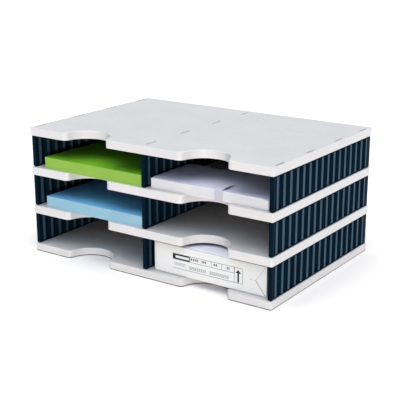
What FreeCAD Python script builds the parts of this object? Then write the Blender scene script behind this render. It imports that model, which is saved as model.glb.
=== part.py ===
import FreeCAD, Part
import os
from math import atan2, ceil, tan

from FreeCAD import Vector

# A plug-together paper sorter: three tiers of two bays for C4 sheets.
#
# Four equal moulded plates are held apart by nine corrugated walls. Pegs on the
# walls' rails plug into slots in the plates, and a rear panel slides down grooves
# behind each bay. Four of the bays are loaded.
#
# Lengths are in millimetres. X runs to the right, Y to the back and Z up. The
# origin is the middle of the base plate's underside.

# --- Sheets and loads -----------------------------------------------------
c4_width = 229.0
c4_length = 324.0
a4_width = 210.0
a4_length = 297.0
loose_stack_height = 20.0
loose_stack_setback = 4.5   # behind the plates' front edge
stack_wall_gap = 1.2        # between a loose stack and the centre wall
dl_length = 220.0           # DL envelopes lie with their long side across the bay
dl_width = 110.0
envelope_stack_height = 18.0
envelope_setback = 9.5
envelope_offset = 1.4       # right of the bay's middle
band_width = 14.0
band_thickness = 0.4
band_offset = 20.0          # middle of the band, right of the stack's middle
ream_height = 51.0
ream_setback = 11.0
ream_offset = 1.2           # right of the bay's middle
ream_round = 1.5
wrapper_thickness = 2.0     # folded paper round the ream's sheets, on each side

# --- Play of the loads in their bays --------------------------------------
side_play = 0.625           # each side of the widest load
end_play = 0.3              # behind the longest load
head_room = 5.0             # above the tallest load

# --- Plates ---------------------------------------------------------------
plate_height = 13.75
plate_skin = 2.5            # top wall of the moulding
plate_rim = 2.6             # side wall round the edge and the finger cut-outs
plate_corner = 2.5          # radius of the four corners, seen from above
rib_thickness = 1.8
ribs_across = 9             # ribs that run front to back
ribs_deep = 1               # ribs that run left to right

# --- Finger cut-outs ------------------------------------------------------
finger_radius = 42.0
mouth_radius = 9.5          # rounds the cut-out into the front edge

# --- Walls ----------------------------------------------------------------
wall_thickness = 7.5
wall_side_inset = 1.0       # outer walls stand in from the plates' side edges
wall_end_inset = 2.5        # every wall stands in from the front and back edges
sheet_thickness = 1.8
wave_pitch = 20.0
wave_inset = 0.8            # crests lie in from the posts' side faces
crest_flat = 5.5            # flat along the middle of the sheet at each crest
front_post_depth = 6.0
rear_post_depth = 11.0
post_edge = 1.2             # chamfer down the posts' corners
flange_height = 0.8         # closes the sheet's upper and lower ends
foot_height = 1.6           # shadow gap between the flanges and the plates
foot_width = 3.8

# --- Pegs and slots -------------------------------------------------------
pegs_per_rail = 4
peg_end_margin = 10.5       # from a wall's end to its nearest peg
peg_length = 26.0
peg_thickness = 2.2
peg_lead = 1.5              # the pegs' ends narrow by this much
peg_clearance = 0.2         # all round a peg in its slot
peg_meeting_gap = 1.0       # between pegs that enter a slot from both sides
socket_wall = 2.0           # round each slot, below the skin

# --- Rear panels ----------------------------------------------------------
panel_thickness = 2.4
panel_clearance = 0.2       # each side of the panel, and at its edges
panel_head_gap = 0.5
groove_depth = 2.3
groove_land = 1.6           # post left behind the groove

# --- Names ----------------------------------------------------------------
plate_names = ("base_plate", "lower_shelf", "upper_shelf", "top_plate")
tier_names = ("bottom", "middle", "top")

# --- Places worked out from the sizes above -------------------------------
ream_width = a4_width + 2 * wrapper_thickness
ream_length = a4_length + 2 * wrapper_thickness
load_widths = (
    c4_width,
    a4_width,
    dl_length + 2 * envelope_offset,
    ream_width + 2 * ream_offset,
)
bay_width = max(load_widths) + 2 * side_play
bay_height = max(loose_stack_height, envelope_stack_height, ream_height) + head_room
load_backs = (
    c4_length,
    loose_stack_setback + a4_length,
    envelope_setback + dl_width,
    ream_setback + ream_length,
)
bay_depth = max(load_backs) + end_play
plate_width = 2 * (bay_width + wall_side_inset) + 3 * wall_thickness
plate_depth = bay_depth + panel_thickness + panel_clearance + groove_land + wall_end_inset
front_y = -plate_depth / 2
back_y = plate_depth / 2
tier_height = plate_height + bay_height
wall_front_y = front_y + wall_end_inset
wall_back_y = back_y - wall_end_inset
outer_wall_x = bay_width + wall_thickness
wall_places = {"left": -outer_wall_x, "centre": 0.0, "right": outer_wall_x}
bay_centre_x = outer_wall_x / 2
bay_places = {"left": -bay_centre_x, "right": bay_centre_x}
groove_width = panel_thickness + 2 * panel_clearance
groove_back_y = wall_back_y - groove_land
slot_width = peg_thickness + 2 * peg_clearance
slot_length = peg_length + 2 * peg_clearance
peg_reach = (plate_height - peg_meeting_gap) / 2
peg_span = wall_back_y - wall_front_y - 2 * peg_end_margin - peg_length
peg_rows_y = [peg_span * (i / (pegs_per_rail - 1) - 0.5) for i in range(pegs_per_rail)]


def floor_z(tier):
    """Top face of the plate under a tier, counted from 0 at the bottom."""
    return plate_height + tier * tier_height


def block(x, y, z):
    """Box between pairs of limits."""
    size = (x[1] - x[0], y[1] - y[0], z[1] - z[0])
    return Part.makeBox(*size, Vector(x[0], y[0], z[0]))


def around(centre, width):
    """Pair of limits either side of a middle."""
    return (centre - width / 2, centre + width / 2)


def one_solid(shape):
    """The single solid in a boolean result, with its split faces merged."""
    return shape.removeSplitter().Solids[0]


def upright_edges(shape, keep):
    """Vertical edges whose middle passes the test."""
    found = []
    for edge in shape.Edges:
        box = edge.BoundBox
        if box.ZLength > 0.9 * shape.BoundBox.ZLength and box.XLength + box.YLength < 0.001:
            if keep(edge.CenterOfMass):
                found.append(edge)
    return found


# --- Plates ---------------------------------------------------------------

def plate_blank():
    """Solid plate with rounded corners and two finger cut-outs."""
    blank = block(around(0, plate_width), (front_y, back_y), (0, plate_height))
    blank = blank.makeFillet(plate_corner, upright_edges(blank, lambda middle: True))
    for centre_x in bay_places.values():
        cutter = Part.makeCylinder(finger_radius, plate_height, Vector(centre_x, front_y, 0))
        blank = blank.cut(cutter)
    mouths = upright_edges(blank, lambda middle: middle.y < front_y + 0.001)
    return blank.makeFillet(mouth_radius, [edge for edge in mouths if is_mouth(edge)])


def is_mouth(edge):
    """True for an edge where a finger cut-out meets the front face."""
    from_cutout = abs(abs(edge.CenterOfMass.x) - bay_centre_x)
    return abs(from_cutout - finger_radius) < 0.001


def plate_pockets(blank):
    """Hollows between the ribs and sockets on the underside."""
    pocket_depth = plate_height - plate_skin
    floor = [face for face in blank.Faces if face.BoundBox.ZMax < 0.001][0]
    hollow = floor.makeOffset2D(-plate_rim).extrude(Vector(0, 0, pocket_depth))
    inner_width = plate_width - 2 * plate_rim
    inner_depth = plate_depth - 2 * plate_rim
    cutters = []
    for i in range(ribs_across):
        x = inner_width * ((i + 1) / (ribs_across + 1) - 0.5)
        cutters.append(block(around(x, rib_thickness), (front_y, back_y), (0, pocket_depth)))
    for i in range(ribs_deep):
        y = inner_depth * ((i + 1) / (ribs_deep + 1) - 0.5)
        cutters.append(block(around(0, plate_width), around(y, rib_thickness), (0, pocket_depth)))
    for x in wall_places.values():
        for y in peg_rows_y:
            across = around(x, slot_width + 2 * socket_wall)
            along = around(y, slot_length + 2 * socket_wall)
            cutters.append(block(across, along, (0, pocket_depth)))
    return hollow.cut(cutters)


def plate():
    """One moulded plate, its underside at z = 0."""
    blank = plate_blank()
    shape = blank.cut(plate_pockets(blank))
    slots = []
    for x in wall_places.values():
        for y in peg_rows_y:
            slots.append(block(around(x, slot_width), around(y, slot_length), (0, plate_height)))
    return one_solid(shape.cut(slots))


# --- Walls ----------------------------------------------------------------

def wave_points(side, swing, turns):
    """Bends of one face of the corrugated sheet, from front to back."""
    flank_run = wave_pitch / 2 - crest_flat
    bend = atan2(2 * swing, flank_run)
    points = []
    for i in range(turns + 1):
        crest = -1 if i % 2 == 0 else 1
        x = crest * swing + side * sheet_thickness / 2
        y = wall_front_y + front_post_depth / 2 + i * wave_pitch / 2
        flat = crest_flat + side * crest * sheet_thickness * tan(bend / 2)
        points += [Vector(x, y - flat / 2, 0), Vector(x, y + flat / 2, 0)]
    return points


def corrugated_sheet(bottom, top):
    """Sheet with flat crests and slanted flanks, clipped to the wall."""
    swing = wall_thickness / 2 - wave_inset - sheet_thickness / 2
    first_y = wall_front_y + front_post_depth / 2
    turns = ceil((wall_back_y - rear_post_depth - first_y) / (wave_pitch / 2))
    right = wave_points(1, swing, turns)
    left = wave_points(-1, swing, turns)
    outline = Part.makePolygon(right + left[::-1] + right[:1])
    sheet = Part.Face(outline).extrude(Vector(0, 0, top - bottom))
    sheet.translate(Vector(0, 0, bottom))
    room = block(around(0, wall_thickness), (wall_front_y, wall_back_y), (bottom, top))
    return sheet.common(room)


def post(y, bottom, top):
    """Upright bar with broken corners at one end of a wall."""
    bar = block(around(0, wall_thickness), y, (bottom, top))
    return bar.makeChamfer(post_edge, upright_edges(bar, lambda middle: True))


def peg(y, root_z, direction):
    """Flat peg with slanted ends that plugs into a plate's slot, up or down."""
    tip_z = root_z + direction * peg_reach
    half = peg_length / 2
    corners = [(-half, root_z), (half, root_z), (half - peg_lead, tip_z), (peg_lead - half, tip_z)]
    points = [Vector(-peg_thickness / 2, y + along, z) for along, z in corners]
    outline = Part.makePolygon(points + points[:1])
    return Part.Face(outline).extrude(Vector(peg_thickness, 0, 0))


def wall(grooved_sides):
    """One wall standing at x = 0 on z = 0, with a panel groove on the sides named."""
    bottom = foot_height
    top = bay_height - foot_height
    front = (wall_front_y, wall_front_y + front_post_depth)
    rear = (wall_back_y - rear_post_depth, wall_back_y)
    between_posts = (front[1] - post_edge, rear[0] + post_edge)
    foot_inset = (wall_thickness - foot_width) / 2
    foot_y = (wall_front_y + foot_inset, wall_back_y - foot_inset)
    flange_width = wall_thickness - 2 * wave_inset
    pieces = [post(rear, bottom, top), corrugated_sheet(bottom + flange_height, top - flange_height)]
    for flange_z in ((bottom, bottom + flange_height), (top - flange_height, top)):
        pieces.append(block(around(0, flange_width), between_posts, flange_z))
    for foot_z in ((0, foot_height), (top, bay_height)):
        pieces.append(block(around(0, foot_width), foot_y, foot_z))
    for y in peg_rows_y:
        pieces += [peg(y, 0, -1), peg(y, bay_height, 1)]
    shape = post(front, bottom, top).fuse(pieces)
    groove_y = (groove_back_y - groove_width, groove_back_y)
    for side in grooved_sides:
        edge = side * wall_thickness / 2
        x = sorted((edge, edge - side * groove_depth))
        shape = shape.cut(block(x, groove_y, (0, bay_height)))
    return one_solid(shape)


def rear_panel():
    """Flat panel that closes the back of a bay, standing on z = 0 at x = 0."""
    width = bay_width + 2 * (groove_depth - panel_clearance)
    y = around(groove_back_y - groove_width / 2, panel_thickness)
    return block(around(0, width), y, (0, bay_height - panel_head_gap))


# --- Loads ----------------------------------------------------------------

def loose_stack():
    """A4 sheets against the centre wall, in the left bay of the lowest tier."""
    right_x = -wall_thickness / 2 - stack_wall_gap
    y = front_y + loose_stack_setback
    x = (right_x - a4_width, right_x)
    return block(x, (y, y + a4_length), (floor_z(0), floor_z(0) + loose_stack_height))


def envelope_stack():
    """Bundle of envelopes in the right bay of the top tier, lying on its band."""
    y = front_y + envelope_setback
    bottom = floor_z(2) + band_thickness
    x = around(bay_centre_x + envelope_offset, dl_length)
    return block(x, (y, y + dl_width), (bottom, bottom + envelope_stack_height))


def envelope_band(stack):
    """Paper band once round the envelopes, from front to back."""
    box = stack.BoundBox
    x = around(box.Center.x + band_offset, band_width)
    y = (box.YMin - band_thickness, box.YMax + band_thickness)
    z = (box.ZMin - band_thickness, box.ZMax + band_thickness)
    return one_solid(block(x, y, z).cut(stack))


def paper_ream():
    """Wrapped ream in the right bay of the bottom tier."""
    y = front_y + ream_setback
    x = around(bay_centre_x + ream_offset, ream_width)
    ream = block(x, (y, y + ream_length), (floor_z(0), floor_z(0) + ream_height))
    return ream.makeFillet(ream_round, upright_edges(ream, lambda middle: True))


def placed(shape, x=0.0, z=0.0):
    """A moved copy of a shape."""
    copy = shape.copy()
    copy.translate(Vector(x, 0, z))
    return copy


def build():
    """Every piece of the loaded sorter, by node name."""
    nodes = {}
    one_plate = plate()
    for level, name in enumerate(plate_names):
        nodes[name] = placed(one_plate, z=level * tier_height)
    groove_sides = {"left": (1,), "centre": (-1, 1), "right": (-1,)}
    walls = {row: wall(sides) for row, sides in groove_sides.items()}
    panel = rear_panel()
    for tier, tier_name in enumerate(tier_names):
        for row, x in wall_places.items():
            nodes[f"{tier_name}_{row}_wall"] = placed(walls[row], x, floor_z(tier))
        for bay, x in bay_places.items():
            nodes[f"{tier_name}_{bay}_rear_panel"] = placed(panel, x, floor_z(tier))
    stack = loose_stack()
    nodes["blue_paper_stack"] = placed(stack, z=tier_height)
    nodes["green_paper_stack"] = placed(stack, z=2 * tier_height)
    nodes["envelope_stack"] = envelope_stack()
    nodes["envelope_band"] = envelope_band(nodes["envelope_stack"])
    nodes["paper_ream"] = paper_ream()
    return nodes


def main():
    os.makedirs("parts", exist_ok=True)
    for name, shape in build().items():
        shape.exportStep(f"parts/{name}.step")
        print(f"{name}: {len(shape.Solids)} solid, {shape.Volume / 1000:.1f} cm3, valid {shape.isValid()}")


main()
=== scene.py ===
import math
import random

import bmesh
import bpy
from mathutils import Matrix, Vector


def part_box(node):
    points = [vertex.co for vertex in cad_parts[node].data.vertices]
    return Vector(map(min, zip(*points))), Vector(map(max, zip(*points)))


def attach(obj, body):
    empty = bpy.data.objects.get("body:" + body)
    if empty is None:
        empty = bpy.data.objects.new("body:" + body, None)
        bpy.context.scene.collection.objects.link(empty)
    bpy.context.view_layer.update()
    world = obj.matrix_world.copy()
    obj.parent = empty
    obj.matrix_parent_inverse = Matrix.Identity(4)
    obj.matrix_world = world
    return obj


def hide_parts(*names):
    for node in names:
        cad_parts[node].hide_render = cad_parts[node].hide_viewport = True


# A plug-together desk sorter with paper in four of its bays.
#
# The plates, walls and rear panels are the frame's own shapes with their edges
# rounded. The paper is built here: piles of single sheets, a banded bundle of
# envelopes and a wrapped ream. Everything is in metres, in the frame's own axes:
# X to the right, Y to the back, Z up.

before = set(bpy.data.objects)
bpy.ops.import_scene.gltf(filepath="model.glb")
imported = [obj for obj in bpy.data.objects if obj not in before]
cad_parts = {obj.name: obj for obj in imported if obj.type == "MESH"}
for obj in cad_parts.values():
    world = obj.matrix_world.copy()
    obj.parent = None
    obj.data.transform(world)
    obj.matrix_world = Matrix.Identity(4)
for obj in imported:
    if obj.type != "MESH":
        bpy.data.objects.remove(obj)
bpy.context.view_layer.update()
MM = 0.001

TIERS = ("bottom", "middle", "top")
ROWS = ("left", "centre", "right")
BAYS = ("left", "right")
PLATES = ("base_plate", "lower_shelf", "upper_shelf", "top_plate")
WALLS = [f"{tier}_{row}_wall" for tier in TIERS for row in ROWS]
PANELS = [f"{tier}_{bay}_rear_panel" for tier in TIERS for bay in BAYS]

MERGE = 0.001 * MM          # vertices this close become one
CLOSE = 0.01 * MM           # places this close count as the same

PLATE_ROUNDING = 0.8 * MM
SLOT_ROUNDING = 0.12 * MM
FOOT_DEPTH = 0.9 * MM       # how far the step under the base plate is set back; its faces are painted dark as shade
FOOT_HEIGHT = 1.6 * MM
FRONT_POST = 5.9 * MM       # a wall's folded sheet is farther than this from its front
REAR_POST = 10.9 * MM       # and farther than this from its rear
BEND_ROUNDING = 1.1 * MM
POST_ROUNDING = 0.4 * MM
CREST_OUT = 2.4 * MM        # a crest's face is farther than this from the wall's middle
HIGHLIGHT_END = 3.2 * MM        # and its painted highlight ends this far from the plates
PANEL_ROUNDING = 0.35 * MM

SHEET_EDGE = 0.22           # share of a layer's height that each rounded edge takes
SHEET_MEMORY = 0.4          # share of a layer's stray that the next layer keeps
FIRST_COLOUR, SECOND_COLOUR, MIXED_COLOUR = 6, 7, 2     # a Mix node's colour sockets


# --- Colours and node helpers ----------------------------------------------

def rgb(red, green, blue):
    """A display colour, 0 to 255, as the linear colour that shaders take."""
    def linear(value):
        share = value / 255
        return share / 12.92 if share <= 0.04045 else ((share + 0.055) / 1.055) ** 2.4
    return (linear(red), linear(green), linear(blue), 1.0)


class Shader:
    """A material's node tree, with short calls for the nodes used here."""

    def __init__(self, name, **surface):
        self.material = bpy.data.materials.new(name)
        self.material.use_nodes = True
        self.tree = self.material.node_tree
        self.surface = self.tree.nodes["Principled BSDF"]
        for socket, value in surface.items():
            self.surface.inputs[socket.replace("_", " ")].default_value = value
        self.place = self.tree.nodes.new("ShaderNodeTexCoord").outputs["Object"]

    def link(self, source, target):
        self.tree.links.new(source, target)

    def stretched(self, scale):
        """The place in the object, stretched by that much along X, Y and Z."""
        node = self.tree.nodes.new("ShaderNodeMapping")
        node.inputs["Scale"].default_value = scale
        self.link(self.place, node.inputs["Vector"])
        return node.outputs["Vector"]

    def noise(self, size, detail=2.0, stretch=None):
        """Noise whose features are about that many millimetres across."""
        node = self.tree.nodes.new("ShaderNodeTexNoise")
        node.inputs["Scale"].default_value = 1 / (size * MM)
        node.inputs["Detail"].default_value = detail
        place = self.stretched(stretch) if stretch else self.place
        self.link(place, node.inputs["Vector"])
        return node.outputs["Fac"]

    def spread(self, value, low, high, start=0.3, end=0.7):
        """A value from start to end, carried over to low to high."""
        node = self.tree.nodes.new("ShaderNodeMapRange")
        node.inputs["From Min"].default_value = start
        node.inputs["From Max"].default_value = end
        node.inputs["To Min"].default_value = low
        node.inputs["To Max"].default_value = high
        self.link(value, node.inputs["Value"])
        return node.outputs["Result"]

    def mix(self, share, first, second):
        """Colour between two, each a colour or another node's output."""
        node = self.tree.nodes.new("ShaderNodeMix")
        node.data_type = "RGBA"
        self.link(share, node.inputs["Factor"])
        for index, colour in ((FIRST_COLOUR, first), (SECOND_COLOUR, second)):
            if isinstance(colour, bpy.types.NodeSocket):
                self.link(colour, node.inputs[index])
            else:
                node.inputs[index].default_value = colour
        return node.outputs[MIXED_COLOUR]

    def bump(self, height, depth, below=None):
        """Bump of that depth in millimetres, on top of another bump."""
        node = self.tree.nodes.new("ShaderNodeBump")
        node.inputs["Distance"].default_value = depth * MM
        self.link(height, node.inputs["Height"])
        if below is not None:
            self.link(below, node.inputs["Normal"])
        return node.outputs["Normal"]

    def finish(self, colour, roughness, normal):
        """Joins the outputs of other nodes to the surface and gives the material."""
        self.link(colour, self.surface.inputs["Base Color"])
        self.link(roughness, self.surface.inputs["Roughness"])
        self.link(normal, self.surface.inputs["Normal"])
        return self.material


# --- Materials -------------------------------------------------------------

def moulded_plastic(name, colour, shade, grain, grain_depth, roughness, **surface):
    """Moulded plastic: faint flow marks, a fine grain and uneven gloss.

    grain is the grain's size and grain_depth its depth, both in millimetres.
    """
    shader = Shader(name, **surface)
    flow = shader.noise(size=60, detail=3.0)
    speckle = shader.noise(size=grain, detail=3.0)
    colour = shader.mix(shader.spread(flow, 0, 1), colour, shade)
    colour = shader.mix(shader.spread(speckle, 0, 0.1), colour, shade)
    gloss = shader.spread(shader.noise(size=14, detail=4.0), *roughness)
    waviness = shader.bump(shader.noise(size=25, detail=1.0), depth=0.03)
    return shader.finish(colour, gloss, shader.bump(speckle, grain_depth, waviness))


def paper(name, colour, shade, sheet=None, roughness=(0.8, 0.95)):
    """Paper with fibres, and with lines a sheet apart where it is the edge of a pile."""
    shader = Shader(name, Specular_IOR_Level=0.3)
    fibres = shader.noise(size=0.9, detail=5.0, stretch=(1.0, 0.45, 1.0))
    cloud = shader.noise(size=35, detail=3.0)
    colour = shader.mix(shader.spread(fibres, 0, 0.5), colour, shade)
    colour = shader.mix(shader.spread(cloud, 0, 0.35), colour, shade)
    if sheet:
        edges = shader.noise(size=sheet, detail=2.0, stretch=(0.004, 0.004, 1.0))
        colour = shader.mix(shader.spread(edges, 0, 0.8), colour, shade)
    gloss = shader.spread(cloud, *roughness)
    return shader.finish(colour, gloss, shader.bump(fibres, depth=0.02))


BLUE_SHEEN = (0.25, 0.65, 1.0, 1.0)
PLATE_PLASTIC = moulded_plastic(
    "plate_plastic", rgb(208, 204, 201), rgb(203, 199, 197),
    grain=0.5, grain_depth=0.006, roughness=(0.42, 0.55))
WALL_PLASTIC = moulded_plastic(
    "wall_plastic", rgb(4, 23, 35), rgb(3, 18, 30),
    grain=0.35, grain_depth=0.006, roughness=(0.45, 0.53),
    Specular_IOR_Level=0.04, Specular_Tint=BLUE_SHEEN)
# Lighter blue on the crests' outward faces is a painted highlight on the same wall plastic.
CREST_PAINTED_HIGHLIGHT = moulded_plastic(
    "wall_crest_plastic", rgb(62, 83, 97), rgb(51, 71, 86),
    grain=0.35, grain_depth=0.006, roughness=(0.45, 0.53),
    Specular_IOR_Level=0.08, Specular_Tint=BLUE_SHEEN)
# Near-black on the step under the base plate is painted shade where the plate meets the floor.
FOOT_PAINTED_SHADE = moulded_plastic(
    "foot_step_painted_shade", rgb(30, 31, 34), rgb(24, 25, 28),
    grain=0.4, grain_depth=0.01, roughness=(0.7, 0.8), Specular_IOR_Level=0.2)
PANEL_PLASTIC = moulded_plastic(
    "panel_plastic", rgb(14, 15, 17), rgb(9, 10, 12),
    grain=0.4, grain_depth=0.01, roughness=(0.6, 0.75))
# Green and blue paper: the cut edges are partly paler as the paper's own edges, and the
# sheets' faces are darker as painted shade.
GREEN_EDGES = paper(
    "green_paper_edges", rgb(158, 194, 86), rgb(142, 181, 72), sheet=0.35)
GREEN_SHEET_AND_PAINTED_SHADE = paper("green_paper_sheet_and_painted_shade", rgb(94, 155, 5), rgb(86, 145, 3))
BLUE_EDGES = paper(
    "blue_paper_edges", rgb(166, 199, 209), rgb(144, 184, 199), sheet=0.35)
BLUE_SHEET_AND_PAINTED_SHADE = paper("blue_paper_sheet_and_painted_shade", rgb(101, 168, 211), rgb(93, 158, 202))
ENVELOPE_EDGES = paper(
    "envelope_edges", rgb(236, 233, 232), rgb(216, 214, 215), sheet=0.5)
# Lavender-grey on the envelopes' faces is painted shade; the edges keep the envelopes' white.
ENVELOPE_FACE_PAINTED_SHADE = paper("envelope_face_painted_shade", rgb(189, 190, 206), rgb(181, 182, 198))
BAND_PAPER = paper("band_paper", rgb(184, 181, 190), rgb(170, 167, 178))
WRAPPER_PAPER = paper(
    "wrapper_paper", rgb(219, 217, 214), rgb(212, 210, 208), roughness=(0.45, 0.6))
# Paler, bluish white on the wrapper's top and bottom is painted light on the same wrapper
# paper.
WRAPPER_FACE_PAINTED_LIGHT = paper(
    "wrapper_face_painted_light", rgb(244, 242, 250), rgb(238, 236, 246), roughness=(0.45, 0.6))
# Dark grey on the flaps' cut edges is painted shade along the folds and the tuck.
WRAPPER_FOLD_PAINTED_SHADE = paper(
    "wrapper_fold_painted_shade", rgb(122, 118, 120), rgb(108, 105, 108), roughness=(0.6, 0.7))
LABEL_PAPER = paper(
    "label_paper", rgb(221, 219, 216), rgb(215, 213, 211), roughness=(0.4, 0.55))
DARK_INK = paper("dark_ink", rgb(14, 16, 24), rgb(22, 25, 34), roughness=(0.5, 0.6))
GREY_INK = paper("grey_ink", rgb(70, 74, 82), rgb(90, 94, 100), roughness=(0.5, 0.6))
PALE_INK = paper("pale_ink", rgb(88, 92, 98), rgb(104, 108, 114), roughness=(0.5, 0.6))


# --- Mesh helpers ----------------------------------------------------------

def add_piece(name, mesh, material, body, replaces=()):
    """A visible piece made of a mesh that is already in its place."""
    piece = bpy.data.objects.new(name, mesh)
    bpy.context.scene.collection.objects.link(piece)
    mesh.materials.append(material)
    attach(piece, body)
    if replaces:
        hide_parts(*replaces)
    return piece


def soften(mesh, crease):
    """Smooth shading, except across edges that bend by more than crease degrees."""
    bm = bmesh.new()
    bm.from_mesh(mesh)
    for face in bm.faces:
        face.smooth = True
    for edge in bm.edges:
        edge.smooth = edge.calc_face_angle(0) < math.radians(crease)
    bm.to_mesh(mesh)
    bm.free()


def weighted_normals(piece):
    """Keeps large faces flat where they meet small roundings."""
    modifier = piece.modifiers.new("normals", "WEIGHTED_NORMAL")
    modifier.keep_sharp = True
    modifier.weight = 100


def is_upright(edge):
    """True for a vertical edge of some length."""
    shortest = 20 * MM
    along = edge.verts[0].co - edge.verts[1].co
    return abs(along.z) > shortest and abs(along.x) + abs(along.y) < CLOSE


def middle(edge):
    return (edge.verts[0].co + edge.verts[1].co) / 2


def at_height(edge, z):
    return all(abs(vert.co.z - z) < CLOSE for vert in edge.verts)


def frame_mesh(node):
    """The node's shape as a mesh with whole faces in place of its triangles."""
    bm = bmesh.new()
    bm.from_mesh(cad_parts[node].data)
    bmesh.ops.remove_doubles(bm, verts=bm.verts, dist=MERGE)
    bmesh.ops.dissolve_limit(
        bm, angle_limit=math.radians(0.5), verts=bm.verts, edges=bm.edges)
    return bm


def round_edges(bm, edges, width, segments):
    bmesh.ops.bevel(
        bm, geom=edges, offset=width, offset_type="OFFSET", segments=segments,
        profile=0.5, affect="EDGES", clamp_overlap=True)


def step_foot(bm, edges, z):
    """Cuts the foot's step into the edges that stand at z.

    The bevel gives a square step, as high as it is deep. Its upper edge then rises.
    """
    bmesh.ops.bevel(
        bm, geom=edges, offset=FOOT_DEPTH, offset_type="OFFSET", segments=2,
        profile=0.0, affect="EDGES", clamp_overlap=False)
    for vert in bm.verts:
        if abs(vert.co.z - z - FOOT_DEPTH) < CLOSE:
            vert.co.z = z + FOOT_HEIGHT


def frame_piece(node, bm, material, crease=35):
    """Puts a rounded copy of a node in the node's place."""
    mesh = bpy.data.meshes.new(node + "_form")
    bm.to_mesh(mesh)
    bm.free()
    soften(mesh, crease)
    piece = add_piece(node + "_form", mesh, material, "sorter", (node,))
    weighted_normals(piece)
    return piece


def paint_faces(mesh, material, chosen):
    """Gives the chosen faces of a mesh a material of their own."""
    mesh.materials.append(material)
    for face in mesh.polygons:
        if chosen(face):
            face.material_index = len(mesh.materials) - 1


# --- Plates, walls and rear panels -----------------------------------------

def middle_x(node):
    """The node's middle across the sorter."""
    return sum(corner.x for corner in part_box(node)) / 2


def plate_form(node):
    """A plate whose outline and slots have small moulded roundings."""
    slot_reach = 2 * MM         # a slot's edges lie this close to a row of walls
    margin = 5 * MM             # and farther than this from the front and rear
    least_fold = math.radians(60)
    low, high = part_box(node)
    rows = [middle_x(f"bottom_{row}_wall") for row in ROWS]
    bm = frame_mesh(node)

    def is_slot(edge):
        place = middle(edge)
        beside = min(abs(place.x - x) for x in rows)
        return beside < slot_reach and low.y + margin < place.y < high.y - margin

    def spot(edge):
        """The edge's place seen from above, the same for edges one above the other."""
        place = middle(edge)
        return (round(place.x / MM, 1), round(place.y / MM, 1))

    hard = [edge for edge in bm.edges if edge.calc_face_angle(0) > least_fold]
    top = [edge for edge in hard if at_height(edge, high.z)]
    outline = [edge for edge in top if not is_slot(edge)]
    spots = {spot(edge) for edge in outline}
    foot = [edge for edge in hard if at_height(edge, low.z) and spot(edge) in spots]
    slots = [edge for edge in top if is_slot(edge)]
    round_edges(bm, outline, PLATE_ROUNDING, 3)
    round_edges(bm, [edge for edge in slots if edge.is_valid], SLOT_ROUNDING, 1)
    if node == "base_plate":
        step_foot(bm, [edge for edge in foot if edge.is_valid], low.z)
    piece = frame_piece(node, bm, PLATE_PLASTIC)
    if node == "base_plate":
        # The step's faces get the painted shade.
        painted_shade_top = low.z + FOOT_HEIGHT - CLOSE
        paint_faces(piece.data, FOOT_PAINTED_SHADE, lambda face: face.center.z < painted_shade_top)


def cut_across(bm, z):
    """Splits the faces of a mesh along a level line."""
    bmesh.ops.bisect_plane(
        bm, geom=bm.verts[:] + bm.edges[:] + bm.faces[:], dist=MERGE,
        plane_co=(0, 0, z), plane_no=(0, 0, 1))


def wall_form(node):
    """A wall with rounded bends down its corrugation and rounded posts, and a painted
    highlight on its crests' outward faces.
    """
    square_on = 0.995           # least cosine of a face that looks straight out
    low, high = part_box(node)
    tier = TIERS.index(node.split("_")[0])
    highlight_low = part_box(PLATES[tier])[1].z + HIGHLIGHT_END
    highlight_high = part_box(PLATES[tier + 1])[0].z - HIGHLIGHT_END
    wall_x = middle_x(node)
    bm = frame_mesh(node)

    def in_sheet(place):
        return low.y + FRONT_POST < place.y < high.y - REAR_POST

    def is_painted_highlight(face):
        faces_out = abs(face.normal.x) > square_on
        stands_out = abs(face.center.x - wall_x) > CREST_OUT
        between = highlight_low < face.center.z < highlight_high
        return faces_out and stands_out and between and in_sheet(face.center)

    bends, corners = [], []
    for edge in bm.edges:
        angle = math.degrees(edge.calc_face_angle(0))
        if is_upright(edge) and 30 < angle < 60:        # a bend or a chamfer
            (bends if in_sheet(middle(edge)) else corners).append(edge)
    round_edges(bm, bends, BEND_ROUNDING, 3)
    round_edges(bm, [edge for edge in corners if edge.is_valid], POST_ROUNDING, 2)
    # These cuts end the painted highlight short of the plates.
    cut_across(bm, highlight_low)
    cut_across(bm, highlight_high)
    piece = frame_piece(node, bm, WALL_PLASTIC, crease=40)
    # Paints the highlight on the crests' outward faces.
    paint_faces(piece.data, CREST_PAINTED_HIGHLIGHT, is_painted_highlight)


def panel_form(node):
    """A rear panel with its cut edges broken."""
    bm = frame_mesh(node)
    round_edges(bm, bm.edges[:], PANEL_ROUNDING, 2)
    frame_piece(node, bm, PANEL_PLASTIC)


# --- Piles of paper --------------------------------------------------------

def grid_rim(columns, rows):
    """The points round the rim of a grid, in order."""
    return (
        [(i, 0) for i in range(columns)]
        + [(columns, j) for j in range(rows)]
        + [(i, rows) for i in range(columns, 0, -1)]
        + [(0, j) for j in range(rows, 0, -1)]
    )


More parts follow.
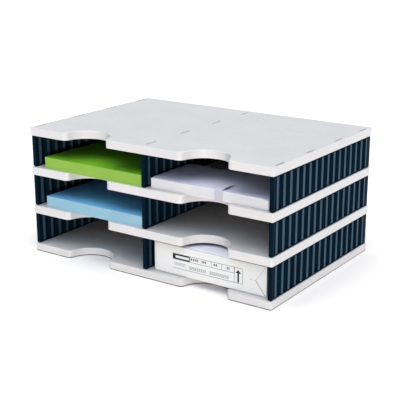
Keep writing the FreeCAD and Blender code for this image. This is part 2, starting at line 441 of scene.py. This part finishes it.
def pile(name, low, high, layers, columns, rows, groove, slip, crown, seed):
    """One closed mesh of thin layers that lie a little out of line.

    Its top and bottom have the second material and its edges have the first.
    groove is how deep the edge falls back between two layers, slip is how far a
    layer strays, and crown gives the height of the pile at a place in it.
    """
    rng = random.Random(seed)
    size = high - low
    inner = size - Vector((2, 2, 0)) * (groove + slip)
    rim = grid_rim(columns, rows)
    profile = ((0.0, groove), (SHEET_EDGE, 0.0), (1 - SHEET_EDGE, 0.0), (1.0, groove))
    bm = bmesh.new()

    def point(i, j, height, stray, inset):
        u, v = i / columns, j / rows
        x = low.x + groove + slip + u * inner.x + stray.x
        y = low.y + groove + slip + v * inner.y + stray.y
        x += inset * ((i == 0) - (i == columns))
        y += inset * ((j == 0) - (j == rows))
        return bm.verts.new((x, y, low.z + height * size.z * crown(u, v)))

    loops = []
    stray = Vector((0, 0))
    for layer in range(layers):
        pull = Vector((rng.uniform(-1, 1), rng.uniform(-1, 1))) * slip
        stray = stray * SHEET_MEMORY + pull * (1 - SHEET_MEMORY)
        for share, inset in profile:
            height = (layer + share) / layers
            loops.append([point(i, j, height, stray, inset) for i, j in rim])
    for below, above in zip(loops, loops[1:]):
        for k in range(len(rim)):
            after = (k + 1) % len(rim)
            bm.faces.new((below[k], below[after], above[after], above[k]))
    for loop, height, inset in ((loops[0], 0.0, groove), (loops[-1], 1.0, groove)):
        known = dict(zip(rim, loop))
        for i in range(1, columns):
            for j in range(1, rows):
                known[i, j] = point(i, j, height, stray, inset)
        for i in range(columns):
            for j in range(rows):
                cell = ((i, j), (i + 1, j), (i + 1, j + 1), (i, j + 1))
                corners = [known[corner] for corner in cell]
                cap = bm.faces.new(corners if height else corners[::-1])
                cap.material_index = 1
    mesh = bpy.data.meshes.new(name)
    bm.to_mesh(mesh)
    bm.free()
    soften(mesh, 30)
    return mesh


def step(start, end, value):
    """0 before start, 1 after end, and smooth between them."""
    share = min(1.0, max(0.0, (value - start) / (end - start)))
    return share * share * (3 - 2 * share)


def hill(centre, width, value):
    """1 at the centre, falling smoothly to nothing on both sides."""
    return math.exp(-(((value - centre) / width) ** 2))


def is_level(face):
    return abs(face.normal.z) > 0.7


def sheet_pile(node, edges, sheet, body, seed):
    """Loose sheets whose cut edges look paler than the sheets' faces, which carry painted
    shade.
    """
    low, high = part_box(node)

    def crown(u, v):
        sag = 0.012 * math.sin(math.pi * v) ** 2
        lean = 0.01 * u * (1 - v)
        return 1.0 - sag - lean

    mesh = pile(
        node + "_sheets", low, high, layers=64, columns=8, rows=10,
        groove=0.12 * MM, slip=0.22 * MM, crown=crown, seed=seed)
    add_piece(node + "_sheets", mesh, edges, body, (node,))
    # The sheets' faces get the sheet colour with its painted shade.
    mesh.materials.append(sheet)


# --- Envelopes and their band ----------------------------------------------

BAND_LOW, BAND_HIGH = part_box("envelope_band")
BUNDLE_LOW, BUNDLE_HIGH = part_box("envelope_stack")
BAND_U = (middle_x("envelope_band") - BUNDLE_LOW.x) / (BUNDLE_HIGH.x - BUNDLE_LOW.x)
BAND_THICKNESS = 0.3 * MM
BAND_BEND = 2.2 * MM        # radius of the band's outside at the bundle's edges
BAND_LIFT = 1.2 * MM        # how high the band's right edge stands off the bundle
BAND_SINK = 0.35 * MM       # how far the band sinks into the bundle's top elsewhere


def plateau(rise_start, rise_end, fall_start, fall_end, value):
    """1 between a rise and a fall, and 0 outside them."""
    return step(rise_start, rise_end, value) * (1 - step(fall_start, fall_end, value))


def bundle_crown(u, v):
    """Height of the bundle at a place in it, as a share of its full height.

    u and v go from 0 to 1 to the right and to the back. The bundle sinks under its
    band and in the slit beside it, and is lower at its ends and at its folds.
    """
    pinch = 0.03 * hill(BAND_U, 0.045, u)
    slit = 0.1 * hill(BAND_U + 0.034, 0.016, u) * plateau(0.04, 0.09, 0.26, 0.33, v)
    ends = 0.09 * (0.4 + 0.6 * u) * (1 - plateau(0.0, 0.05, 0.94, 1.0, u))
    folds = 0.06 * (1 - plateau(0.0, 0.06, 0.94, 1.0, v))
    lean = 0.035 * step(BAND_U, 1.0, u)
    swell = 0.02 * math.sin(math.pi * v)
    return 0.985 + swell - pinch - slit - ends - folds - lean


def envelope_bundle():
    """Folded envelopes, each with a rounded fold at its edge."""
    mesh = pile(
        "envelope_bundle", BUNDLE_LOW, BUNDLE_HIGH, layers=40, columns=88, rows=26,
        groove=0.25 * MM, slip=0.3 * MM, crown=bundle_crown, seed=11)
    add_piece(
        "envelope_bundle", mesh, ENVELOPE_EDGES, "envelopes",
        ("envelope_stack",))
    # The bundle's top and bottom get the painted shade.
    mesh.materials.append(ENVELOPE_FACE_PAINTED_SHADE)


def straight(start, end, steps=24):
    """The band's route from one of its points to a place, both left out."""
    place, out = start
    return [(place.lerp(end, k / steps), out) for k in range(1, steps)]


def band_route():
    """The band's way round the bundle, seen from its end.

    A list of places on its outside, as (y, z), each with its direction outwards. It
    starts at the front and goes over the top.
    """
    turns = 6
    front, rear = BAND_LOW.y + BAND_BEND, BAND_HIGH.y - BAND_BEND
    bottom, top = BAND_LOW.z + BAND_BEND, BAND_HIGH.z - BAND_BEND
    centres = ((front, top), (rear, top), (rear, bottom), (front, bottom))
    route = []
    for index, centre in enumerate(centres):
        for turn in range(turns + 1):
            angle = math.radians(180 - 90 * (index + turn / turns))
            out = Vector((math.cos(angle), math.sin(angle)))
            place = Vector(centre) + out * BAND_BEND
            if route and turn == 0:
                route += straight(route[-1], place)
            route.append((place, out))
    return route + straight(route[-1], route[0][0])


def envelope_band():
    """Paper band once round the bundle, standing off it along its right edge."""
    across = 8
    bm = bmesh.new()
    rings = []
    for place, out in band_route():
        on_top = out.y > 0.99
        depth = (place.x - BAND_LOW.y) / MM
        gap = plateau(4, 10, 22, 32, depth) * on_top
        sink = BAND_SINK * on_top * (1 - gap)
        ring = []
        for side in (0, 1):
            for k in range(across + 1):
                share = k / across if side == 0 else 1 - k / across
                x = BAND_LOW.x + share * (BAND_HIGH.x - BAND_LOW.x)
                lift = BAND_LIFT * gap * step(0.25, 1.0, share)
                spot = place - out * (BAND_THICKNESS * side + sink) + Vector((0, lift))
                ring.append(bm.verts.new((x, spot.x, spot.y)))
        rings.append(ring)
    for k, ring in enumerate(rings):
        after = rings[(k + 1) % len(rings)]
        for i in range(len(ring)):
            j = (i + 1) % len(ring)
            bm.faces.new((ring[i], ring[j], after[j], after[i]))
    bmesh.ops.recalc_face_normals(bm, faces=bm.faces)
    mesh = bpy.data.meshes.new("paper_band")
    bm.to_mesh(mesh)
    bm.free()
    soften(mesh, 40)
    add_piece("paper_band", mesh, BAND_PAPER, "envelopes", ("envelope_band",))
    # The band's top and bottom get the envelopes' painted shade.
    paint_faces(mesh, ENVELOPE_FACE_PAINTED_SHADE, is_level)


# --- Wrapped ream ----------------------------------------------------------

REAM_LOW, REAM_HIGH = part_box("paper_ream")
REAM_FACE = REAM_LOW.y + 1.4 * MM       # the wrapper, under its folded ends and label
FLAP_THICKNESS = 1.05 * MM
LABEL_THICKNESS = 0.15 * MM
INK_THICKNESS = 0.05 * MM
WRAPPER_ROUNDING = 1.6 * MM
WRAPPER_SLACK = 0.3 * MM    # how far the wrapper's sides lie inside the box, and sink
CRINKLE = 0.12 * MM


def stops(low, high, radius, cells):
    """Places along one side, close together in its two roundings."""
    rounding = [radius * (1 - math.cos(math.radians(a))) for a in (0, 22, 45, 67)]
    start = [low + r for r in rounding]
    inside = [low + radius + (high - low - 2 * radius) * k / cells for k in range(cells + 1)]
    return start + inside + [high - r for r in rounding[::-1]]


def rounded_block(name, low, high, radius, cells, push):
    """A closed block with rounded edges whose faces are pushed in or out.

    cells counts the flat cells along each axis. push gives the way out at a place, from
    that place and its direction outwards.
    """
    sides = [stops(low[k], high[k], radius, cells[k]) for k in range(3)]
    last = [len(side) - 1 for side in sides]
    bm = bmesh.new()
    known = {}

    def vert(i, j, k):
        if (i, j, k) not in known:
            place = Vector((sides[0][i], sides[1][j], sides[2][k]))
            core = Vector(
                max(low[a] + radius, min(high[a] - radius, place[a])) for a in range(3))
            out = place - core
            if out.length > 0:
                out.normalize()
            known[i, j, k] = bm.verts.new(core + out * (radius + push(place, out)))
        return known[i, j, k]

    for axis in range(3):
        one, two = [a for a in range(3) if a != axis]
        for end in (0, last[axis]):
            for i in range(last[one]):
                for j in range(last[two]):
                    corners = []
                    for di, dj in ((0, 0), (1, 0), (1, 1), (0, 1)):
                        index = [0, 0, 0]
                        index[axis], index[one], index[two] = end, i + di, j + dj
                        corners.append(vert(*index))
                    bm.faces.new(corners)
    bmesh.ops.recalc_face_normals(bm, faces=bm.faces)
    mesh = bpy.data.meshes.new(name)
    bm.to_mesh(mesh)
    bm.free()
    soften(mesh, 60)
    return mesh


def wrapper():
    """The ream in its wrapper, whose paper is a little slack on its wide faces."""
    low = Vector((REAM_LOW.x + WRAPPER_SLACK, REAM_FACE, REAM_LOW.z))
    high = Vector((REAM_HIGH.x - WRAPPER_SLACK, REAM_HIGH.y, REAM_HIGH.z - WRAPPER_SLACK))
    size = high - low

    def push(place, out):
        u, v = (place.x - low.x) / size.x, (place.y - low.y) / size.y
        if out.z > 0.9:
            waves = math.sin(17 * u + 5 * v) * math.sin(9 * v + 3 * u)
            return CRINKLE * (out.z * waves - 1)
        if abs(out.x) > 0.9:
            return -WRAPPER_SLACK * math.sin(math.pi * v) ** 2
        return 0.0

    mesh = rounded_block(
        "ream_wrapper", low, high, WRAPPER_ROUNDING, cells=(26, 36, 8), push=push)
    add_piece("ream_wrapper", mesh, WRAPPER_PAPER, "ream", ("paper_ream",))
    # The wrapper's top and bottom get the painted light.
    paint_faces(mesh, WRAPPER_FACE_PAINTED_LIGHT, is_level)


def leaf(bm, outline, front, thickness):
    """A flat leaf of paper, its outline in (x, z) and its front face at y = front."""
    face = [bm.verts.new((x, front, z)) for x, z in outline]
    back = [bm.verts.new((x, front + thickness, z)) for x, z in outline]
    count = len(outline)
    bm.faces.new(face)
    bm.faces.new(back[::-1])
    for k in range(count):
        after = (k + 1) % count
        bm.faces.new((face[k], back[k], back[after], face[after]))


def leaves(name, outlines, front, thickness, material):
    """Leaves of paper or ink on the end of the ream, as one piece."""
    bm = bmesh.new()
    for outline in outlines:
        leaf(bm, outline, front, thickness)
    bmesh.ops.recalc_face_normals(bm, faces=bm.faces)
    mesh = bpy.data.meshes.new(name)
    bm.to_mesh(mesh)
    bm.free()
    return add_piece(name, mesh, material, "ream")


def ream_place(x, z):
    """A place on the ream's end, in millimetres from its lower left corner."""
    return (REAM_LOW.x + x * MM, REAM_LOW.z + z * MM)


def bar(x0, x1, z0, z1):
    """Outline of a bar on the ream's end."""
    return [ream_place(x0, z0), ream_place(x1, z0), ream_place(x1, z1), ream_place(x0, z1)]


def lines(x0, x1, z0, z1, width):
    """Outlines of a thin frame of four lines."""
    return [
        bar(x0, x1, z0, z0 + width), bar(x0, x1, z1 - width, z1),
        bar(x0, x0 + width, z0 + width, z1 - width),
        bar(x1 - width, x1, z0 + width, z1 - width)]


def folded_end():
    """Upper and lower flaps folded over the end, with the tuck open at the right."""
    width = (REAM_HIGH.x - REAM_LOW.x) / MM
    height = (REAM_HIGH.z - REAM_LOW.z) / MM
    left, right = 4.9, width - 4.0
    bottom, top = 1.2, height - 1.2
    corner = 1.0
    slit = 0.2
    tuck_x, tuck_z = 194.4, 0.47 * height
    upper = [
        (left, tuck_z), (tuck_x, tuck_z), (width - 2.0, top - corner), (right, top),
        (left + corner, top), (left, top - corner)]
    lower = [
        (left, tuck_z - slit), (left, bottom + corner), (left + corner, bottom),
        (right, bottom), (width - 2.5, bottom + 1.2), (tuck_x, tuck_z - slit)]
    outlines = [[ream_place(x, z) for x, z in flap] for flap in (upper, lower)]
    front = REAM_FACE - FLAP_THICKNESS
    into_ream = FLAP_THICKNESS * 1.2        # the flaps' rear lies just inside the ream
    piece = leaves("ream_end_flaps", outlines, front, into_ream, WRAPPER_PAPER)
    # The flaps' cut edges get the painted shade.
    paint_faces(piece.data, WRAPPER_FOLD_PAINTED_SHADE, lambda face: abs(face.normal.y) < 0.5)


def dashes(x0, x1, z0, z1, count):
    """Outlines of short bars side by side, where a line of print would be."""
    inked = 0.62
    pitch = (x1 - x0) / count
    starts = [x0 + k * pitch for k in range(count)]
    return [bar(start, start + inked * pitch, z0, z1) for start in starts]


def dark_print():
    """Outlines of a dark block with a plain opening, and of an arrow."""
    left, right, low, high = 38.6, 71.8, 27.6, 37.5
    open_left, open_right, open_low, open_high = 43.9, 70.0, 30.4, 34.6
    block = [
        bar(left, right, low, open_low), bar(left, right, open_high, high),
        bar(left, open_left, open_low, open_high), bar(open_right, right, open_low, open_high)]
    middle_of_arrow, foot, neck, tip = 163.4, 13.8, 29.0, 34.4
    half_stem, half_head, overlap = 1.5, 5.2, 0.6
    stem = bar(middle_of_arrow - half_stem, middle_of_arrow + half_stem, foot, neck + overlap)
    head = [
        ream_place(middle_of_arrow - half_head, neck),
        ream_place(middle_of_arrow + half_head, neck), ream_place(middle_of_arrow, tip)]
    return block + [stem, head]


def grey_print():
    """Outlines of four groups of tall bars in the table."""
    low, high = 31.4, 35.4
    # Each group's left end, right end and number of bars.
    groups = ((74.4, 89.4, 4), (94.7, 104.4, 3), (117.6, 125.5, 2), (142.3, 148.3, 2))
    return sum((dashes(left, right, low, high, count) for left, right, count in groups), [])


def pale_print():
    """Outlines of the table's lines, and of three rows of small bars under it."""
    left, table_left, arrow_left, right = 38.6, 72.6, 156.1, 171.8
    low, table_low, high = 12.3, 27.6, 38.0
    line = 0.7
    inked = 1.1
    outlines = lines(table_left, arrow_left, table_low, high, line)
    outlines += lines(arrow_left, right, low, high, line)
    outlines += [bar(left, arrow_left, low, low + line)]
    outlines += [bar(x, x + line, table_low + line, high - line) for x in (112.9, 132.3)]
    for level, slip in ((15.6, 0.0), (17.6, 0.7), (19.6, 0.3)):
        outlines += dashes(71.0 + slip, 103.5 + slip, level, level + inked, 9)
        outlines += dashes(109.7 + slip, 146.7 + slip, level, level + inked, 10)
        outlines += [bar(41.0, 65.0 - 4 * slip, level + 2.4, level + 2.9)]
    return outlines


def label():
    """Plain label on the flaps, with bars and lines where a real one is printed."""
    front = REAM_FACE - FLAP_THICKNESS - LABEL_THICKNESS
    leaves("ream_label", [bar(6.5, 183.0, 2.6, 48.6)], front, LABEL_THICKNESS, LABEL_PAPER)
    ink = front - INK_THICKNESS
    leaves("ream_print_dark", dark_print(), ink, INK_THICKNESS, DARK_INK)
    leaves("ream_print_grey", grey_print(), ink, INK_THICKNESS, GREY_INK)
    leaves("ream_print_pale", pale_print(), ink, INK_THICKNESS, PALE_INK)


# --- Floor, light and camera ------------------------------------------------

FLOOR_COLOUR, FLOOR_SHADE = (0.975, 0.93, 0.89, 1), (0.965, 0.92, 0.88, 1)
DOME_STRENGTH = 2.24
DOME_LEAST = 0.02           # share of its light that the dome still has low down
DOME_RISE = (0.42, 0.85)    # heights on the dome between which its light rises to full
TINT_RISE = (0.5, 1.0)      # heights between which the low tint turns into the high one
TO_RIGHT, TO_FRONT = 0.3, 0.6       # how much stronger the dome is on those sides
LOW_TINT, HIGH_TINT = (0.56, 0.90, 1.23, 1), (1.20, 1.08, 0.995, 1)
WHITE = (1, 1, 1, 1)


def floor():
    """Plain pale floor, far wider than the view."""
    reach = 12.0
    mesh = bpy.data.meshes.new("floor")
    corners = [(-reach, -reach, 0), (reach, -reach, 0), (reach, reach, 0), (-reach, reach, 0)]
    mesh.from_pydata(corners, [], [(0, 1, 2, 3)])
    ground = bpy.data.objects.new("floor", mesh)
    bpy.context.scene.collection.objects.link(ground)
    shader = Shader("floor_paint", Specular_IOR_Level=0.0)
    cloud = shader.noise(size=400, detail=2.0)
    colour = shader.mix(shader.spread(cloud, 0, 1), FLOOR_COLOUR, FLOOR_SHADE)
    roughness = shader.spread(cloud, 0.85, 0.95)
    mesh.materials.append(shader.finish(colour, roughness, shader.bump(cloud, depth=0.01)))


def aim(lamp, place, target):
    """Puts a lamp at a place, facing a target."""
    lamp.location = place
    lamp.rotation_mode = "QUATERNION"
    lamp.rotation_quaternion = (Vector(target) - Vector(place)).to_track_quat("-Z", "Y")
    bpy.context.scene.collection.objects.link(lamp)


def distant(name, place, spread, power, colour):
    """A wide, far light that is even over the whole floor, spread in degrees."""
    data = bpy.data.lights.new(name, "SUN")
    data.angle = math.radians(spread)
    data.energy = power
    data.color = colour
    aim(bpy.data.objects.new(name, data), place, (0, 0, 0))


class Surroundings:
    """The world's node tree, with short calls for the nodes used here."""

    def __init__(self, name):
        self.world = bpy.data.worlds.new(name)
        self.world.use_nodes = True
        self.tree = self.world.node_tree

    def link(self, source, target):
        self.tree.links.new(source, target)

    def node(self, kind, *inputs):
        """A node whose first inputs are each a number, a colour or another's output."""
        node = self.tree.nodes.new(kind)
        for socket, value in zip(node.inputs, inputs):
            if isinstance(value, bpy.types.NodeSocket):
                self.link(value, socket)
            else:
                socket.default_value = value
        return node

    def maths(self, operation, *inputs):
        node = self.node("ShaderNodeMath", *inputs)
        node.operation = operation
        return node.outputs[0]

    def rise(self, height, span, start):
        """A value that goes from start to 1 while the height crosses the span."""
        return self.node("ShaderNodeMapRange", height, *span, start, 1.0).outputs["Result"]

    def tint(self, share):
        """The low tint turned into the high one by that share."""
        node = self.node("ShaderNodeMix")
        node.data_type = "RGBA"
        self.link(share, node.inputs["Factor"])
        node.inputs[FIRST_COLOUR].default_value = LOW_TINT
        node.inputs[SECOND_COLOUR].default_value = HIGH_TINT
        return node.outputs[MIXED_COLOUR]


def dome():
    """Soft dome of light, dark at the horizon and stronger in front and at the right.

    What is seen beyond the floor is plain white.
    """
    sky = Surroundings("studio")
    place = sky.node("ShaderNodeTexCoord").outputs["Generated"]
    right, back, up = sky.node("ShaderNodeSeparateXYZ", place).outputs
    sides = sky.maths("MULTIPLY_ADD", right, TO_RIGHT, 1.0)
    sides = sky.maths("MULTIPLY_ADD", back, -TO_FRONT, sides)
    strength = sky.maths("MULTIPLY", sides, sky.rise(up, DOME_RISE, DOME_LEAST))
    strength = sky.maths("MULTIPLY", strength, DOME_STRENGTH)
    tint = sky.tint(sky.rise(up, TINT_RISE, 0.0))
    light = sky.tree.nodes["Background"]
    sky.link(tint, light.inputs["Color"])
    sky.link(strength, light.inputs["Strength"])
    backdrop = sky.node("ShaderNodeBackground", WHITE, 1.0)
    seen = sky.node("ShaderNodeLightPath").outputs["Is Camera Ray"]
    shown = sky.node("ShaderNodeMixShader", seen, light.outputs[0], backdrop.outputs[0])
    sky.link(shown.outputs[0], sky.tree.nodes["World Output"].inputs["Surface"])
    bpy.context.scene.world = sky.world


def studio():
    """Soft dome, and low lamps before the object and at its right."""
    dome()
    distant("fill", (0.80, -1.0, 0.02), spread=3, power=1.6, colour=(0.95, 0.89, 0.83))
    distant("side", (0.90, 0.45, 0.06), spread=8, power=0.32, colour=(0.82, 0.92, 1.0))


def camera():
    """Camera at the photograph's viewing angle, fitted to corners of the sorter in it."""
    yaw, pitch, roll = 0.605, 0.291, 0.001
    focal_pixels, frame_pixels = 958.03, 400
    data = bpy.data.cameras.new("camera")
    data.sensor_width = 36.0
    data.lens = focal_pixels / frame_pixels * data.sensor_width
    eye = bpy.data.objects.new("camera", data)
    eye.location = (0.9143, -1.3240, 0.5747)
    eye.rotation_mode = "XYZ"
    eye.rotation_euler = (math.pi / 2 - pitch, roll, yaw)
    bpy.context.scene.collection.objects.link(eye)
    bpy.context.scene.camera = eye


# --- Scene -------------------------------------------------------------------

for plate_node in PLATES:
    plate_form(plate_node)
for wall_node in WALLS:
    wall_form(wall_node)
for panel_node in PANELS:
    panel_form(panel_node)
sheet_pile("green_paper_stack", GREEN_EDGES, GREEN_SHEET_AND_PAINTED_SHADE, "green_stack", 3)
sheet_pile("blue_paper_stack", BLUE_EDGES, BLUE_SHEET_AND_PAINTED_SHADE, "blue_stack", 7)
envelope_bundle()
envelope_band()
wrapper()
folded_end()
label()
floor()
studio()
camera()
bpy.context.scene.view_settings.view_transform = "Standard"
